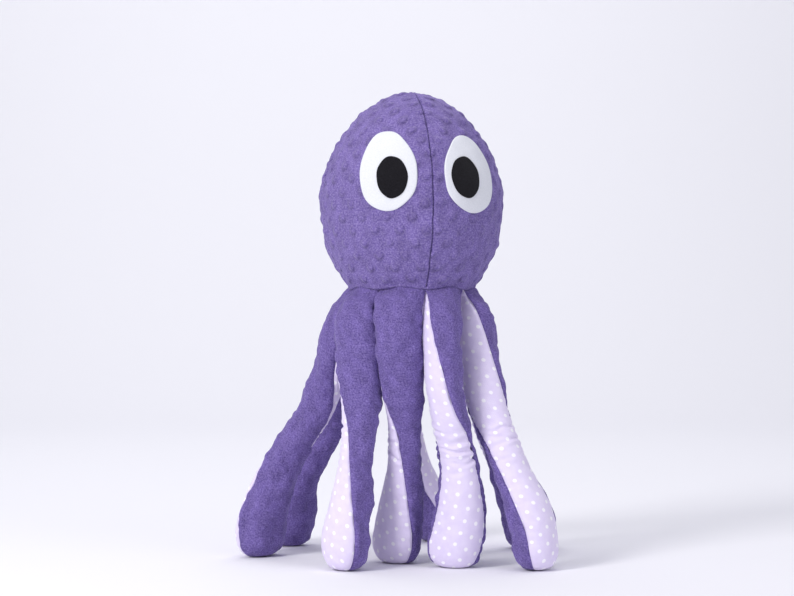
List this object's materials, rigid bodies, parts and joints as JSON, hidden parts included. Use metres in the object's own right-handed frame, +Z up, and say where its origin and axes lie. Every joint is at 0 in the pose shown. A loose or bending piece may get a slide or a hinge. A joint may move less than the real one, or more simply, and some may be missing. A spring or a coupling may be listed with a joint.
{
  "type": "octopus plush toy",
  "caption": "Stuffed octopus toy: a dimpled plush head with felt eyes standing on long stuffed tentacles with printed cotton undersides.",
  "frame": {"origin": "on the floor, under the middle of the toy's outline", "axes": "+Z up through the crown, -Y out of the front seam of the face, +X to the right seen from the front"},
  "size_m": [0.3475, 0.306, 0.48],
  "materials": {
    "plush": "short purple plush pile with raised dimple dots",
    "cotton": "lilac woven cotton with small white pin dots",
    "eye_white": "matt white felt",
    "pupil": "matt black felt",
    "stuffing": "hidden polyester fibre filling"
  },
  "bodies": {
    "head": {"head_front_left": "plush", "head_front_right": "plush", "head_back_left": "plush", "head_back_right": "plush", "head_base": "cotton", "head_stuffing": "stuffing", "eye_white_left": "eye_white", "eye_white_right": "eye_white", "pupil_left": "pupil", "pupil_right": "pupil"},
    "leg_1_upper": {"leg_1_outer_upper": "plush", "leg_1_inner_upper": "cotton", "leg_1_stuffing_upper": "stuffing"},
    "leg_1_lower": {"leg_1_outer_lower": "plush", "leg_1_inner_lower": "cotton", "leg_1_stuffing_lower": "stuffing"},
    "leg_2_upper": {"leg_2_outer_upper": "plush", "leg_2_inner_upper": "cotton", "leg_2_stuffing_upper": "stuffing"},
    "leg_2_lower": {"leg_2_outer_lower": "plush", "leg_2_inner_lower": "cotton", "leg_2_stuffing_lower": "stuffing"},
    "leg_3_upper": {"leg_3_outer_upper": "plush", "leg_3_inner_upper": "cotton", "leg_3_stuffing_upper": "stuffing"},
    "leg_3_lower": {"leg_3_outer_lower": "plush", "leg_3_inner_lower": "cotton", "leg_3_stuffing_lower": "stuffing"},
    "leg_4_upper": {"leg_4_outer_upper": "plush", "leg_4_inner_upper": "cotton", "leg_4_stuffing_upper": "stuffing"},
    "leg_4_lower": {"leg_4_outer_lower": "plush", "leg_4_inner_lower": "cotton", "leg_4_stuffing_lower": "stuffing"},
    "leg_5_upper": {"leg_5_outer_upper": "plush", "leg_5_inner_upper": "cotton", "leg_5_stuffing_upper": "stuffing"},
    "leg_5_lower": {"leg_5_outer_lower": "plush", "leg_5_inner_lower": "cotton", "leg_5_stuffing_lower": "stuffing"},
    "leg_6_upper": {"leg_6_outer_upper": "plush", "leg_6_inner_upper": "cotton", "leg_6_stuffing_upper": "stuffing"},
    "leg_6_lower": {"leg_6_outer_lower": "plush", "leg_6_inner_lower": "cotton", "leg_6_stuffing_lower": "stuffing"},
    "leg_7_upper": {"leg_7_outer_upper": "plush", "leg_7_inner_upper": "cotton", "leg_7_stuffing_upper": "stuffing"},
    "leg_7_lower": {"leg_7_outer_lower": "plush", "leg_7_inner_lower": "cotton", "leg_7_stuffing_lower": "stuffing"},
    "leg_8_upper": {"leg_8_outer_upper": "plush", "leg_8_inner_upper": "cotton", "leg_8_stuffing_upper": "stuffing"},
    "leg_8_lower": {"leg_8_outer_lower": "plush", "leg_8_inner_lower": "cotton", "leg_8_stuffing_lower": "stuffing"}
  },
  "joints": [
    {"name": "leg_1_neck", "type": "hinge", "parent": "head", "child": "leg_1_upper", "pos_m": [0.01566, -0.11413, 0.2805], "axis": [-0.9239, -0.3827, 0], "range_deg": [-1, 53]},
    {"name": "leg_1_crease", "type": "hinge", "parent": "leg_1_upper", "child": "leg_1_lower", "pos_m": [0.02582, -0.10992, 0.125], "axis": [-0.9239, -0.3827, 0], "range_deg": [-6, 36]},
    {"name": "leg_2_neck", "type": "hinge", "parent": "head", "child": "leg_2_upper", "pos_m": [0.04813, -0.08166, 0.2805], "axis": [-0.3827, -0.9239, 0], "range_deg": [-3, 54]},
    {"name": "leg_2_crease", "type": "hinge", "parent": "leg_2_upper", "child": "leg_2_lower", "pos_m": [0.07342, -0.10945, 0.125], "axis": [-0.3827, -0.9239, 0], "range_deg": [-10, 50]},
    {"name": "leg_3_neck", "type": "hinge", "parent": "head", "child": "leg_3_upper", "pos_m": [0.04813, -0.03574, 0.2805], "axis": [0.3827, -0.9239, 0], "range_deg": [-12, 51]},
    {"name": "leg_3_crease", "type": "hinge", "parent": "leg_3_upper", "child": "leg_3_lower", "pos_m": [0.10263, 0.01822, 0.125], "axis": [0.3827, -0.9239, 0], "range_deg": [-10, 50]},
    {"name": "leg_4_neck", "type": "hinge", "parent": "head", "child": "leg_4_upper", "pos_m": [0.01566, -0.00327, 0.2805], "axis": [0.9239, -0.3827, 0], "range_deg": [-12, 51]},
    {"name": "leg_4_crease", "type": "hinge", "parent": "leg_4_upper", "child": "leg_4_lower", "pos_m": [0.02353, 0.09413, 0.125], "axis": [0.9239, -0.3827, 0], "range_deg": [-10, 50]},
    {"name": "leg_5_neck", "type": "hinge", "parent": "head", "child": "leg_5_upper", "pos_m": [-0.03026, -0.00327, 0.2805], "axis": [0.9239, 0.3827, 0], "range_deg": [-9, 54]},
    {"name": "leg_5_crease", "type": "hinge", "parent": "leg_5_upper", "child": "leg_5_lower", "pos_m": [-0.07124, 0.08259, 0.125], "axis": [0.9239, 0.3827, 0], "range_deg": [-10, 50]},
    {"name": "leg_6_neck", "type": "hinge", "parent": "head", "child": "leg_6_upper", "pos_m": [-0.06273, -0.03574, 0.2805], "axis": [0.3827, 0.9239, 0], "range_deg": [-6, 51]},
    {"name": "leg_6_crease", "type": "hinge", "parent": "leg_6_upper", "child": "leg_6_lower", "pos_m": [-0.11207, 0.015, 0.125], "axis": [0.3827, 0.9239, 0], "range_deg": [-10, 50]},
    {"name": "leg_7_neck", "type": "hinge", "parent": "head", "child": "leg_7_upper", "pos_m": [-0.06273, -0.08166, 0.2805], "axis": [-0.3827, 0.9239, 0], "range_deg": [0, 51]},
    {"name": "leg_7_crease", "type": "hinge", "parent": "leg_7_upper", "child": "leg_7_lower", "pos_m": [-0.06952, -0.0888, 0.125], "axis": [-0.3827, 0.9239, 0], "range_deg": [-5, 50]},
    {"name": "leg_8_neck", "type": "hinge", "parent": "head", "child": "leg_8_upper", "pos_m": [-0.03026, -0.11413, 0.2805], "axis": [-0.9744, 0.225, 0], "range_deg": [0, 48]},
    {"name": "leg_8_crease", "type": "hinge", "parent": "leg_8_upper", "child": "leg_8_lower", "pos_m": [-0.01926, -0.07973, 0.125], "axis": [-0.9744, 0.225, 0], "range_deg": [-8, 48]}
  ]
}
